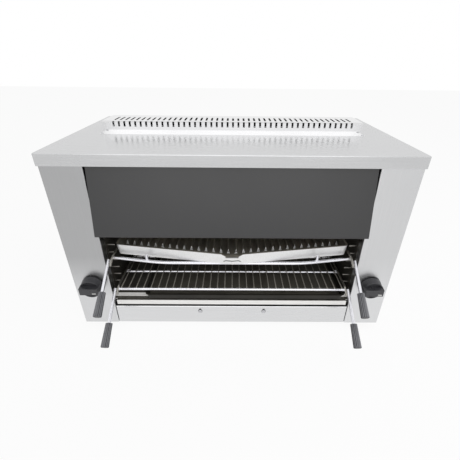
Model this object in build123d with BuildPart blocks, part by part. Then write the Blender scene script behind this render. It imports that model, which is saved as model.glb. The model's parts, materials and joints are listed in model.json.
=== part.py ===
from build123d import *
import os
from math import cos, pi, radians, sin, tan

os.makedirs("parts", exist_ok=True)

# A gas salamander grill: a folded sheet casing under a lid with a slotted flue cowl, two racks that slide
# on wall studs, a ribbed cast branding plate, a loose drip tray and two push-and-turn gas taps.
# Depths run backwards from the faces of the front pillars, heights run up from the pillars' lower ends.

# Sheet and casing
sheet = 1.5
bend = 3.0
flange = 18.0
body_height = 521.0
pillar_width = 101.5
cavity_depth = 340.0
pillar_return = 25.0
back_start_height = 60.0
foot_height = 25.0
foot_radius = 19.0
foot_neck_radius = 15.0
foot_side_inset = 55.0
foot_front_inset = 75.0
foot_back_inset = 60.0

# Lid
lid_width = 900.0
lid_depth = 490.0
lid_lip = 30.0
lid_overhang = 4.0
lid_side_gap = 1.5
lid_back_gap = 1.5

# Flue cowl
cowl_side_overlap = 22.5
cowl_setback = 123.0
cowl_depth = 100.0
cowl_height = 31.0
cowl_bend = 4.0
cowl_foot = 30.0
cowl_opening_margin = 6.0
cowl_opening_end = 20.0
cowl_slot_margin = 24.0
cowl_slot_pitch = 15.3
cowl_slot_width = 5.4
cowl_slot_start = 16.0
cowl_slot_wrap = 5.0
cowl_top_slot_gap = 11.0
cowl_top_slot_length = 47.0
cowl_screw_inset = 3.5
cowl_screw_setback = 10.0
cowl_screw_radius = 3.5
cowl_screw_height = 1.3

# Front hood
hood_side_gap = 3.5
hood_height = 316.0
hood_reach = 28.0
hood_setback = 12.0
hood_hem = 10.0

# Lower front panel with two keyhole fixings
panel_height = 64.5
panel_end_gap = 2.5
panel_lip = 12.0
panel_screw_x = 95.0
panel_screw_height = 45.0
panel_keyhole_rise = 11.5
panel_keyhole_width = 7.0
bracket_width = 30.0
bracket_height = 60.0
bracket_foot = 60.0

# Screws
screw_radius = 2.5
screw_head_radius = 5.5
screw_head_height = 2.5
screw_head_taper = 20.0
screw_length = 9.0
screw_hole_gap = 0.4

# Tray shelf and drip tray
shelf_front = 0.5
shelf_height = 87.0
shelf_lip = 15.0
shelf_ledge = 20.0
shelf_step = 10.5
shelf_bend = 2.0
shelf_corner = 8.0
tray_left_margin = 94.5
tray_handle_gap = 2.0
tray_front = -8.0
tray_back_gap = 20.0
tray_height = 18.0
tray_rim = 4.0
tray_draft = 5.0
tray_corner = 10.0

# Rack studs on the cavity walls
stud_radius = 2.5
stud_first_height = 130.0
stud_pitch = 25.0
stud_rows = 6
stud_front_depth = 40.0
stud_back_depth = 290.0
lower_rack_row = 0
upper_rack_row = 4
running_gap = 0.3
rod_sides = 8

# Racks of welded rod
side_rod_radius = 3.0
bar_radius = 4.0
weld_sink = 0.5
cross_end_inset = 0.6
rack_bend_depth = 9.0
rack_tail = 28.0
rack_bend_radius = 12.0
cross_front_depth = 84.0
cross_pitch = 80.0
cross_count = 4
rack_overhang = 5.0
lower_bar_depth = 1.5
upper_bar_depth = 13.5
upper_bar_bow = 23.5
upper_bar_end = 135.75
upper_bar_bend_radius = 400.0
stop_inset = 97.0
stop_radius = 3.5
stop_height = 16.0
wire_radius = 1.4
wire_count = 31
wire_side_margin = 9.75

# Rack handles
handle_side_gap = 8.0
handle_radius = 4.25
handle_slope = 33.0
handle_start = 10.0
lower_handle_length = 97.0
upper_handle_length = 90.5
grip_length = 62.5
grip_radius = 9.0
grip_end_radius = 10.5
grip_bore_depth = 45.0
grip_ribs = 16
grip_rib_depth = 1.2
grip_end_chamfer = 1.5
glue_gap = 0.05

# Branding plate
plate_side_gap = 4.75
plate_draft = 7.2
plate_height = 31.5
plate_floor = 6.0
plate_wall = 5.0
plate_end_depth = 27.0
plate_point_depth = -23.0
plate_back_depth = 305.0
plate_corner = 9.0
rib_count = 30
rib_height = 10.0
rib_base = 10.0
rib_crest = 1.6
rib_side_margin = 8.5
rib_channel = 35.0
rib_end_slope = 25.0
spout_width = 57.0
spout_floor_width = 34.0
spout_depth = 6.5
spout_lip = 7.0
spout_lip_thickness = 5.0

# Burners above the cavity
deck_height = 350.0
deck_front = 6.0
baffle_gap = 2.0
plaque_depth = 132.0
plaque_thickness = 13.0
plaque_count = 3
plaque_gap = 1.0
plaque_seat = 4.0
burner_middle = 34.0
burner_end_gap = 20.5
burner_front = 38.0
burner_height = 60.0
burner_flange = 10.0
venturi_depth = 70.0
venturi_radius = 17.0
venturi_wall = 2.0
venturi_mouth_radius = 24.0
venturi_flare = 18.0
venturi_end = 4.0
venturi_hole_gap = 0.5
injector_spigot_radius = 5.0
injector_radius = 9.0
injector_length = 16.0
injector_drop = 20.0

# Gas taps and pipes
knob_inset = 47.5
knob_height = 146.0
tap_neck_radius = 8.0
tap_neck_gap = 0.3
tap_radius = 16.0
tap_body_depth = 46.0
tap_block = 34.0
tap_block_depth = 42.0
tap_boss_radius = 8.0
tap_boss_length = 9.0
tap_bore_depth = 41.0
plunger_radius = 6.0
plunger_length = 24.0
plunger_depth = 10.0
plunger_socket = 12.0
tap_fit = 0.08
pipe_radius = 4.0
manifold_radius = 8.0
manifold_height = 40.0
manifold_bend_radius = 24.0
manifold_hole_gap = 0.5
branch_inset = 95.5
branch_length = 45.0
branch_share = 0.95
inlet_thread_radius = 10.48
inlet_thread_inside = 12.0
inlet_projection = 22.0
inlet_relief = 1.5
inlet_relief_radius = 9.6
inlet_bore_radius = 6.5
inlet_bore_depth = 24.0
nut_radius = 16.0
nut_thickness = 7.0

# Knobs
spindle_radius = 4.0
spindle_socket = 22.0
knob_travel_gap = 4.5
knob_radius = 30.5
knob_skirt = 19.0
knob_skirt_taper = 9.0
knob_dish = 6.0
knob_dish_rim = 3.0
knob_bar_length = 54.0
knob_bar_width = 23.0
knob_bar_rise = 13.5
knob_bar_taper = 4.0
knob_dish_taper = 30.0
knob_bar_chamfer = 2.0

# Vents in the back panel and the base
vent_count = 7
vent_length = 60.0
vent_width = 6.0
vent_pitch = 16.0
vent_height = 400.0
vent_inset = 147.0
base_vent_count = 5
base_vent_depth = 190.0

# Places that follow from the sizes
body_width = lid_width - 2 * (sheet + lid_side_gap)
body_x = body_width / 2
wall_x = body_x - pillar_width
cavity_width = 2 * wall_x
bay_x = (body_x + wall_x) / 2
knob_x = wall_x + knob_inset
handle_x = wall_x - handle_side_gap - handle_radius
side_rod_x = handle_x - handle_radius - side_rod_radius
cross_end_x = side_rod_x - cross_end_inset
slope = radians(handle_slope)
grip_tip = handle_start + max(lower_handle_length, upper_handle_length) + grip_length
grip_reach = grip_tip * cos(slope) + (grip_end_radius - grip_end_chamfer) * sin(slope) - rack_bend_depth
back_face_depth = lid_depth - lid_overhang - sheet - lid_back_gap
rear_reach = back_face_depth + inlet_projection
front = (grip_reach - rear_reach) / 2
floor = foot_height
lid_top = floor + body_height
lid_under = lid_top - sheet
lid_front = front - lid_overhang
back_face = front + back_face_depth
back_inside = back_face - sheet
cavity_back_y = front + cavity_depth
cross_front_y = front + cross_front_depth
cross_back_y = cross_front_y + (cross_count - 1) * cross_pitch
return_y = front + pillar_return
knob_z = floor + knob_height
cowl_front = front + cavity_depth - cowl_setback
cowl_middle = cowl_front + cowl_depth / 2
cowl_width = cavity_width + 2 * cowl_side_overlap
cowl_slot_count = int((cowl_width - 2 * cowl_slot_margin - cowl_slot_width) / cowl_slot_pitch) + 1
deck_z = floor + deck_height
deck_top = deck_z + sheet
baffle_y = cowl_front - baffle_gap
shelf_z = floor + shelf_height
shelf_floor_z = shelf_z + shelf_step
handle_direction = Vector(0, -cos(slope), -sin(slope))


def rack_z(row):
    """Height of a rack's side rods when they lie on a row of studs."""
    stud_z = floor + stud_first_height + row * stud_pitch
    return stud_z + stud_radius + running_gap + side_rod_radius


def fold(plane, points, side, radius=bend):
    """Section of a sheet that is bent along the points, its thickness on the given side."""
    with BuildSketch(plane) as section:
        with BuildLine():
            FilletPolyline(*points, radius=radius)
            offset(amount=sheet, side=side)
        make_face()
    return section.sketch


def save(piece, name):
    """Write one sub-part."""
    piece.part.label = name
    export_step(piece.part, f"parts/{name}.step")


def save_pair(piece, name):
    """Write a right-hand sub-part and its mirror image."""
    save(piece, f"right_{name}")
    with BuildPart() as twin:
        mirror(piece.part, about=Plane.YZ)
    save(twin, f"left_{name}")


# Base pan with upturned sides and air slots under the side bays
base_x = body_x - sheet
base_end = back_inside - bend
foot_x = body_x - foot_side_inset
foot_front_y = front + foot_front_inset
foot_back_y = back_face - foot_back_inset
foot_places = [(x, y) for x in (-foot_x, foot_x) for y in (foot_front_y, foot_back_y)]
base_points = [(-base_x, floor + flange), (-base_x, floor), (base_x, floor), (base_x, floor + flange)]
with BuildPart() as base_pan:
    extrude(fold(Plane.XZ.offset(-base_end), base_points, Side.LEFT), amount=base_end - return_y)
    with BuildSketch(Plane.XY.offset(floor)):
        with Locations((-bay_x, front + base_vent_depth), (bay_x, front + base_vent_depth)):
            with GridLocations(vent_pitch, vent_pitch, 1, base_vent_count):
                Rectangle(vent_length, vent_width)
    extrude(amount=sheet, mode=Mode.SUBTRACT)
save(base_pan, "base_pan")

# Low feet, narrower at the top
with BuildPart() as feet:
    with Locations(*foot_places):
        Cone(foot_radius, foot_neck_radius, foot_height, align=(Align.CENTER, Align.CENTER, Align.MIN))
save(feet, "feet")

# Front pillars, folded back at both edges, each with a hole for its tap
pillar_points = [(body_x, return_y), (body_x, front), (wall_x, front), (wall_x, return_y)]
with BuildPart() as pillar:
    extrude(fold(Plane.XY.offset(floor), pillar_points, Side.RIGHT), amount=lid_under - floor)
    with BuildSketch(Plane.XZ.offset(-front)):
        with Locations((knob_x, knob_z)):
            Circle(tap_neck_radius + tap_neck_gap)
    extrude(amount=-sheet, mode=Mode.SUBTRACT)
save_pair(pillar, "front_pillar")

# Outer side panels with a flange for the back panel
side_points = [(body_x, return_y), (body_x, back_inside), (body_x - flange, back_inside)]
with BuildPart() as side_panel:
    extrude(fold(Plane.XY.offset(floor), side_points, Side.LEFT), amount=lid_under - floor)
save_pair(side_panel, "side_panel")

# Cavity walls, each with holes for the venturi tube and the gas manifold
venturi_y = front + venturi_depth
venturi_z = deck_top + (burner_height + plaque_thickness) / 2
manifold_z = floor + manifold_height
branch_x = wall_x - branch_inset
wall_points = [(wall_x, return_y), (wall_x, cavity_back_y), (wall_x + flange, cavity_back_y)]
with BuildPart() as inner_wall:
    wall_foot = floor + sheet
    extrude(fold(Plane.XY.offset(wall_foot), wall_points, Side.RIGHT), amount=lid_under - wall_foot)
    with BuildSketch(Plane.YZ.offset(wall_x)):
        with Locations((venturi_y, venturi_z)):
            Circle(venturi_radius + venturi_hole_gap)
        with Locations((venturi_y, manifold_z)):
            Circle(manifold_radius + manifold_hole_gap)
    extrude(amount=sheet, mode=Mode.SUBTRACT)
save_pair(inner_wall, "inner_wall")

# Rack studs, two columns on each cavity wall, that stop short of the racks' cross rods
stud_middle_y = front + (stud_front_depth + stud_back_depth) / 2
stud_middle_z = floor + stud_first_height + stud_pitch * (stud_rows - 1) / 2
with BuildPart() as rack_studs:
    with BuildSketch(Plane.YZ.offset(wall_x)):
        with Locations((stud_middle_y, stud_middle_z)):
            with GridLocations(stud_back_depth - stud_front_depth, stud_pitch, 2, stud_rows):
                RegularPolygon(stud_radius, rod_sides)
    extrude(amount=cross_end_x + running_gap - wall_x)
save_pair(rack_studs, "rack_studs")

# Back of the cavity, which is also the back of the flue duct
with BuildPart() as cavity_back:
    with BuildSketch(Plane.XZ.offset(-cavity_back_y)):
        with Locations((0, floor + back_start_height)):
            height = lid_under - floor - back_start_height
            Rectangle(2 * (wall_x + flange), height, align=(Align.CENTER, Align.MIN))
    extrude(amount=-sheet)
save(cavity_back, "cavity_back")

# Outer back panel with vents and the gas inlet's hole
inlet_hole_radius = inlet_thread_radius + screw_hole_gap
with BuildPart() as back_panel:
    with BuildSketch(Plane.XZ.offset(-back_inside)):
        with Locations((0, floor)):
            Rectangle(body_width, lid_under - floor, align=(Align.CENTER, Align.MIN))
        with Locations((branch_x, manifold_z)):
            Circle(inlet_hole_radius, mode=Mode.SUBTRACT)
        vent_x = body_x - vent_inset
        with Locations((-vent_x, floor + vent_height), (vent_x, floor + vent_height)):
            with GridLocations(vent_pitch, vent_pitch, vent_count, 1):
                Rectangle(vent_width, vent_length, mode=Mode.SUBTRACT)
    extrude(amount=-sheet)
save(back_panel, "back_panel")

# Lid with lips all round and the flue opening under the cowl
with BuildPart() as top_lid:
    with BuildSketch(Plane.XY.offset(lid_top - lid_lip)):
        with Locations((0, lid_front)):
            Rectangle(lid_width, lid_depth, align=(Align.CENTER, Align.MIN))
    extrude(amount=lid_lip)
    fillet(top_lid.edges().group_by(Axis.Z)[-1] + top_lid.edges().filter_by(Axis.Z), bend)
    offset(amount=-sheet, openings=top_lid.faces().sort_by(Axis.Z)[0])
    with BuildSketch(Plane.XY.offset(lid_under)):
        with Locations((0, cowl_middle)):
            opening_depth = cowl_depth - 2 * (sheet + cowl_opening_margin)
            Rectangle(cavity_width - 2 * cowl_opening_end, opening_depth)
    extrude(amount=sheet, mode=Mode.SUBTRACT)
save(top_lid, "top_lid")

# Flue cowl: a cover bent in two steps, on foot flanges, with slots that wrap its front bend and a second row
cowl_top = lid_top + cowl_height
cowl_back = cowl_front + cowl_depth
cowl_screw_x = cowl_width / 2 - cowl_screw_inset
cowl_screw_front = cowl_front - cowl_foot + cowl_screw_setback
cowl_screw_back = cowl_back + cowl_foot - cowl_screw_setback
cowl_screw_rows = (cowl_screw_front, cowl_screw_back)
cowl_screw_places = [(x, y) for x in (-cowl_screw_x, cowl_screw_x) for y in cowl_screw_rows]
with BuildPart() as flue_cowl:
    with BuildSketch(Plane.XY.offset(lid_top)):
        with Locations((0, cowl_middle)):
            Rectangle(cowl_width, cowl_depth)
    extrude(amount=cowl_height)
    chamfer(flue_cowl.edges().group_by(Axis.Z)[-1].filter_by(Axis.X), cowl_bend)
    offset(amount=-sheet, openings=flue_cowl.faces().sort_by(Axis.Z)[0])
    with BuildSketch(Plane.XY.offset(lid_top)):
        with Locations((0, cowl_front - cowl_foot), (0, cowl_back - sheet)):
            Rectangle(cowl_width, cowl_foot + sheet, align=(Align.CENTER, Align.MIN))
    extrude(amount=sheet)
    with BuildSketch(Plane.XZ.offset(-cowl_front)):
        with Locations((0, lid_top + (cowl_slot_start + cowl_height + sheet) / 2)):
            with GridLocations(cowl_slot_pitch, cowl_slot_pitch, cowl_slot_count, 1):
                Rectangle(cowl_slot_width, cowl_height + sheet - cowl_slot_start)
    extrude(amount=-cowl_slot_wrap, mode=Mode.SUBTRACT)
    top_slot_y = cowl_front + cowl_slot_wrap + cowl_top_slot_gap + cowl_top_slot_length / 2
    with BuildSketch(Plane.XY.offset(cowl_top)):
        with Locations((0, top_slot_y)):
            with GridLocations(cowl_slot_pitch, cowl_slot_pitch, cowl_slot_count, 1):
                Rectangle(cowl_slot_width, cowl_top_slot_length)
    extrude(amount=-sheet, mode=Mode.SUBTRACT)
save(flue_cowl, "flue_cowl")

# Heads of the screws that hold the cowl's feet on the lid
with BuildPart() as cowl_screws:
    with BuildSketch(Plane.XY.offset(lid_top + sheet)):
        with Locations(*cowl_screw_places):
            Circle(cowl_screw_radius)
    extrude(amount=cowl_screw_height)
save(cowl_screws, "cowl_screws")

# Leaning front hood, hung by a flange under the lid
hood_x = wall_x - hood_side_gap
hood_z = floor + hood_height
hood_points = [
    (front + hood_setback + flange, lid_under),
    (front + hood_setback, lid_under),
    (front - hood_reach, hood_z),
    (front - hood_reach + hood_hem, hood_z),
]
with BuildPart() as front_hood:
    extrude(fold(Plane.YZ.offset(-hood_x), hood_points, Side.LEFT), amount=2 * hood_x)
save(front_hood, "front_hood")

# Lower front panel with keyholes over its two screws
panel_x = wall_x - panel_end_gap
panel_z = floor + panel_height
screw_z = floor + panel_screw_height
panel_points = [(return_y, floor), (front, floor), (front, panel_z), (front + panel_lip, panel_z)]
with BuildPart() as lower_front_panel:
    extrude(fold(Plane.YZ.offset(-panel_x), panel_points, Side.RIGHT), amount=2 * panel_x)
    with BuildSketch(Plane.XZ.offset(-front)):
        with Locations((-panel_screw_x, screw_z), (panel_screw_x, screw_z)):
            Circle(screw_radius + screw_hole_gap)
        with Locations(*[(x, screw_z + panel_keyhole_rise / 2) for x in (-panel_screw_x, panel_screw_x)]):
            Rectangle(panel_keyhole_width, panel_keyhole_rise)
    extrude(amount=-sheet, mode=Mode.SUBTRACT)
save(lower_front_panel, "lower_front_panel")

# Brackets on the base that carry the lower panel's screws
bracket_points = [
    (front + sheet, floor + bracket_height),
    (front + sheet, floor + sheet),
    (front + bracket_foot, floor + sheet),
]
bracket_section = fold(Plane.YZ.offset(panel_screw_x - bracket_width / 2), bracket_points, Side.LEFT)
with BuildPart() as panel_brackets:
    extrude(bracket_section, amount=bracket_width)
    with BuildSketch(Plane.XZ.offset(-front)):
        with Locations((panel_screw_x, screw_z)):
            Circle(screw_radius)
    extrude(amount=-3 * sheet, mode=Mode.SUBTRACT)
    mirror(about=Plane.YZ)
save(panel_brackets, "panel_brackets")

# Pan-head screws of the lower panel
with BuildPart() as panel_screws:
    with BuildSketch(Plane.XZ.offset(-front)):
        with Locations((-panel_screw_x, screw_z), (panel_screw_x, screw_z)):
            Circle(screw_radius)
    extrude(amount=-screw_length)
    with BuildSketch(Plane.XZ.offset(-front)):
        with Locations((-panel_screw_x, screw_z), (panel_screw_x, screw_z)):
            Circle(screw_head_radius)
    extrude(amount=screw_head_height, taper=screw_head_taper)
save(panel_screws, "panel_screws")

# Shelf with a front lip, a low ledge and a raised floor for the drip tray
ledge_y = front + shelf_front
step_y = ledge_y + shelf_ledge
shelf_points = [
    (ledge_y, shelf_z - shelf_lip),
    (ledge_y, shelf_z),
    (step_y, shelf_z),
    (step_y, shelf_floor_z),
    (cavity_back_y, shelf_floor_z),
]
with BuildPart() as tray_shelf:
    extrude(fold(Plane.YZ.offset(-wall_x), shelf_points, Side.RIGHT, shelf_bend), amount=2 * wall_x)
    with BuildSketch(Plane.XY.offset(shelf_z)):
        with Locations((-wall_x, ledge_y), (wall_x, ledge_y)):
            Rectangle(2 * shelf_corner, 2 * shelf_corner)
    extrude(amount=-shelf_lip, mode=Mode.SUBTRACT)
save(tray_shelf, "tray_shelf")

# Loose drip tray with a rolled-out rim and sloping walls
tray_left = -wall_x + tray_left_margin
tray_right = handle_x - handle_radius - tray_handle_gap
tray_width = tray_right - tray_left
tray_depth = cavity_depth - tray_back_gap - tray_front
tray_top = shelf_floor_z + tray_height
tray_lean = tray_height * tan(radians(tray_draft))
tray_middle = ((tray_left + tray_right) / 2, front + tray_front + tray_depth / 2)
tray_foot = 2 * (tray_rim + tray_lean)
with BuildPart() as drip_tray:
    with BuildSketch(Plane.XY.offset(shelf_floor_z)):
        with Locations(tray_middle):
            RectangleRounded(tray_width - tray_foot, tray_depth - tray_foot, tray_corner)
    extrude(amount=tray_height, taper=-tray_draft)
    with BuildSketch(Plane.XY.offset(tray_top - sheet)):
        with Locations(tray_middle):
            RectangleRounded(tray_width, tray_depth, tray_corner + tray_rim)
    extrude(amount=sheet)
    with BuildSketch(Plane.XY.offset(shelf_floor_z + sheet)):
        with Locations(tray_middle):
            inner_foot = tray_foot + 2 * sheet
            RectangleRounded(tray_width - inner_foot, tray_depth - inner_foot, tray_corner - sheet)
    extrude(amount=tray_height, taper=-tray_draft, mode=Mode.SUBTRACT)
save(drip_tray, "drip_tray")


def side_rods(row):
    """Both side rods of a rack, each bent down at the front beside its handle."""
    z = rack_z(row)
    corner = Vector(0, front + rack_bend_depth, z)
    tail = corner + handle_direction * rack_tail
    rear = cross_back_y + rack_overhang
    with BuildPart() as rods:
        with BuildLine(Plane.YZ.offset(side_rod_x)) as path:
            FilletPolyline((rear, z), (corner.Y, corner.Z), (tail.Y, tail.Z), radius=rack_bend_radius)
        with BuildSketch(Plane(path.line @ 0, z_dir=path.line % 0)):
            Circle(side_rod_radius)
        sweep()
        mirror(about=Plane.YZ)
    return rods


def bar_z(row):
    """Height of the bars that are welded under a rack's side rods."""
    return rack_z(row) - side_rod_radius - bar_radius + weld_sink


def cross_rods(row):
    """Straight cross rods behind a rack's front bar."""
    with BuildPart() as rods:
        with BuildSketch(Plane.YZ.offset(-cross_end_x)):
            with Locations(*[(cross_front_y + i * cross_pitch, bar_z(row)) for i in range(cross_count)]):
                Circle(bar_radius)
        extrude(amount=2 * cross_end_x)
    return rods.part


# Lower rack: side rods, a straight front bar between their tails, and cross rods
save(side_rods(lower_rack_row), "lower_rack_side_rods")
lower_bar_y = front + lower_bar_depth
lower_bar_x = side_rod_x - side_rod_radius + weld_sink
with BuildPart() as lower_rack_bars:
    add(cross_rods(lower_rack_row))
    with BuildSketch(Plane.YZ.offset(-lower_bar_x)):
        with Locations((lower_bar_y, bar_z(lower_rack_row))):
            Circle(bar_radius)
    extrude(amount=2 * lower_bar_x)
save(lower_rack_bars, "lower_rack_bars")

# Thin wires welded across the lower rack's bars
wire_z = bar_z(lower_rack_row) + bar_radius + wire_radius - weld_sink
wire_span = 2 * (side_rod_x - wire_side_margin)
with BuildPart() as lower_rack_wires:
    with BuildSketch(Plane.XZ.offset(-lower_bar_y)):
        with Locations((0, wire_z)):
            with GridLocations(wire_span / (wire_count - 1), wire_span, wire_count, 1):
                RegularPolygon(wire_radius, rod_sides)
    extrude(amount=lower_bar_y - cross_back_y)
save(lower_rack_wires, "lower_rack_wires")

# Upper rack: side rods, a front bar that bows forward, and cross rods
save(side_rods(upper_rack_row), "upper_rack_side_rods")
upper_bar_z = bar_z(upper_rack_row)
bar_end_y = front + upper_bar_depth
bow_y = bar_end_y - upper_bar_bow
bar_corner_x = side_rod_x - upper_bar_end
with BuildPart() as upper_rack_bars:
    add(cross_rods(upper_rack_row))
    with BuildLine(Plane.XY.offset(upper_bar_z)) as bar_path:
        FilletPolyline(
            (-side_rod_x, bar_end_y),
            (-bar_corner_x, bow_y),
            (bar_corner_x, bow_y),
            (side_rod_x, bar_end_y),
            radius=upper_bar_bend_radius,
        )
    with BuildSketch(Plane(bar_path.line @ 0, z_dir=bar_path.line % 0)):
        Circle(bar_radius)
    sweep()
save(upper_rack_bars, "upper_rack_bars")

# Upright stops on the upper rack's front bar, ahead of the branding plate
stop_x = side_rod_x - stop_inset
stop_y = bar_end_y - upper_bar_bow * stop_inset / upper_bar_end
with BuildPart() as plate_stops:
    with BuildSketch(Plane.XY.offset(upper_bar_z + bar_radius - weld_sink)):
        with Locations((-stop_x, stop_y), (stop_x, stop_y)):
            Circle(stop_radius)
    extrude(amount=weld_sink + stop_height)
save(plate_stops, "plate_stops")


def handle_point(row, distance):
    """Point on the right handle's axis, a distance down from the side rod's bend."""
    corner = Vector(handle_x, front + rack_bend_depth, rack_z(row))
    return corner + handle_direction * distance


def fluted(plane, radius):
    """Ribbed cross-section of a grip."""
    steps = range(2 * grip_ribs)
    reach = [radius - grip_rib_depth * (i % 2) for i in steps]
    rim = [(r * cos(pi * i / grip_ribs), r * sin(pi * i / grip_ribs)) for i, r in zip(steps, reach)]
    with BuildSketch(plane) as section:
        with BuildLine():
            Polyline(*rim, close=True)
        make_face()
    return section.sketch


# Sloping handles of both racks: a rod beside each side rod's tail and a ribbed grip over its end
handles = [("lower", lower_rack_row, lower_handle_length), ("upper", upper_rack_row, upper_handle_length)]
for rack, row, length in handles:
    rod_plane = Plane(handle_point(row, handle_start), x_dir=(1, 0, 0), z_dir=handle_direction)
    grip_plane = rod_plane.offset(length)
    with BuildPart() as handle_rod:
        with BuildSketch(rod_plane):
            Circle(handle_radius)
        extrude(amount=length + grip_bore_depth)
    save_pair(handle_rod, f"{rack}_handle_rod")
    grip_sections = [
        fluted(grip_plane, grip_radius),
        fluted(grip_plane.offset(grip_length - grip_end_chamfer), grip_end_radius),
        fluted(grip_plane.offset(grip_length), grip_end_radius - grip_end_chamfer),
    ]
    with BuildPart() as grip:
        loft(grip_sections, ruled=True)
        with BuildSketch(grip_plane):
            Circle(handle_radius + glue_gap)
        extrude(amount=grip_bore_depth + glue_gap, mode=Mode.SUBTRACT)
    save_pair(grip, f"{rack}_grip")

# Branding plate: a drafted pan with a pointed front, ribs that stop short of the wall, and a spout
plate_z = upper_bar_z + bar_radius + running_gap
plate_rim_x = side_rod_x - side_rod_radius - plate_side_gap
plate_x = plate_rim_x - plate_height * tan(radians(plate_draft))
end_y = front + plate_end_depth
point_y = front + plate_point_depth
plate_back_y = front + plate_back_depth


def plate_outline(height, inset, corner, channel=0.0):
    """The plate's five-cornered plan at a height, inset all round and by a channel at front and back."""
    rise = (end_y - point_y) / plate_x
    x = plate_x - inset
    tip = (inset + channel) * (1 + rise**2) ** 0.5
    back = plate_back_y - inset - channel
    with BuildSketch(Plane.XY.offset(height)) as outline:
        with BuildLine():
            Polyline(
                (0, point_y + tip),
                (x, point_y + tip + x * rise),
                (x, back),
                (-x, back),
                (-x, point_y + tip + x * rise),
                close=True,
            )
        make_face()
        if corner:
            fillet(outline.vertices().group_by(Axis.X)[0] + outline.vertices().group_by(Axis.X)[-1], corner)
    return outline.sketch


spout_z = plate_z + plate_height - spout_depth
rib_foot = plate_z + plate_floor / 2
rib_rise = plate_floor / 2 + rib_height
rib_span = 2 * (plate_x - plate_wall - rib_side_margin)
rib_profile = [(-rib_base / 2, 0), (rib_base / 2, 0), (rib_crest / 2, rib_rise), (-rib_crest / 2, rib_rise)]
with BuildPart() as rib_bank:
    extrude(plate_outline(rib_foot, plate_wall, 0, rib_channel), amount=rib_rise, taper=rib_end_slope)
    with BuildSketch(Plane.XZ.offset(-plate_back_y)):
        with Locations((0, rib_foot)):
            with GridLocations(rib_span / (rib_count - 1), rib_span, rib_count, 1):
                Polygon(*rib_profile, align=None)
    extrude(amount=plate_back_y - point_y, mode=Mode.INTERSECT)
with BuildPart() as branding_plate:
    extrude(plate_outline(plate_z, 0, plate_corner), amount=plate_height, taper=-plate_draft)
    cavity = plate_outline(plate_z + plate_floor, plate_wall, plate_corner - plate_wall)
    extrude(cavity, amount=plate_height, taper=-plate_draft, mode=Mode.SUBTRACT)
    add(rib_bank.part)
    spout_lip_y = point_y - spout_lip
    with BuildSketch(Plane.XY.offset(spout_z - spout_lip_thickness)):
        with Locations((0, spout_lip_y)):
            Rectangle(spout_floor_width, spout_lip + 2 * plate_wall, align=(Align.CENTER, Align.MIN))
    extrude(amount=spout_lip_thickness)
    spout_top = plate_z + plate_height
    with BuildSketch(Plane.XZ.offset(-point_y - plate_wall - rib_channel)):
        with BuildLine():
            Polyline(
                (-spout_width / 2, spout_top),
                (spout_width / 2, spout_top),
                (spout_floor_width / 2, spout_z),
                (-spout_floor_width / 2, spout_z),
                close=True,
            )
        make_face()
    extrude(amount=2 * (plate_wall + rib_channel) + spout_lip, mode=Mode.SUBTRACT)
save(branding_plate, "branding_plate")

# Burner deck over the cavity, folded up behind the burners as the front of the flue duct
box_width = wall_x - burner_end_gap - burner_flange - burner_middle
plaque_width = (box_width - 2 * (plaque_gap + sheet)) / plaque_count
box_depth = plaque_depth + 2 * (plaque_gap + sheet)
burner_x = burner_middle + box_width / 2
burner_y = front + burner_front + box_depth / 2
deck_points = [(front + deck_front, deck_z), (baffle_y, deck_z), (baffle_y, lid_under)]
with BuildPart() as burner_deck:
    extrude(fold(Plane.YZ.offset(-wall_x), deck_points, Side.LEFT), amount=2 * wall_x)
    with BuildSketch(Plane.XY.offset(deck_z)):
        with Locations((-burner_x, burner_y), (burner_x, burner_y)):
            Rectangle(plaque_count * plaque_width - 2 * plaque_seat, plaque_depth - 2 * plaque_seat)
    extrude(amount=sheet, mode=Mode.SUBTRACT)
save(burner_deck, "burner_deck")

# Burner boxes, open below, on flanges
box_end_x = burner_x + box_width / 2
with BuildPart() as burner_box:
    with BuildSketch(Plane.XY.offset(deck_top)):
        with Locations((burner_x, burner_y)):
            Rectangle(box_width, box_depth)
    extrude(amount=burner_height)
    fillet(burner_box.edges().group_by(Axis.Z)[-1], bend)
    offset(amount=-sheet, openings=burner_box.faces().sort_by(Axis.Z)[0])
    with BuildSketch(Plane.XY.offset(deck_top)):
        with Locations((burner_x, burner_y)):
            Rectangle(box_width + 2 * burner_flange, box_depth + 2 * burner_flange)
            Rectangle(box_width - sheet, box_depth - sheet, mode=Mode.SUBTRACT)
    extrude(amount=sheet)
    with BuildSketch(Plane.YZ.offset(box_end_x)):
        with Locations((venturi_y, venturi_z)):
            Circle(venturi_radius - venturi_wall)
    extrude(amount=-2 * sheet, mode=Mode.SUBTRACT)
save_pair(burner_box, "burner_box")

# Ceramic plaques on the deck's edge, side by side in each burner
with BuildPart() as plaques:
    with BuildSketch(Plane.XY.offset(deck_top)):
        with Locations((burner_x, burner_y)):
            with GridLocations(plaque_width, plaque_depth, plaque_count, 1):
                Rectangle(plaque_width, plaque_depth)
    extrude(amount=plaque_thickness)
save_pair(plaques, "burner_plaques")

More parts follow.
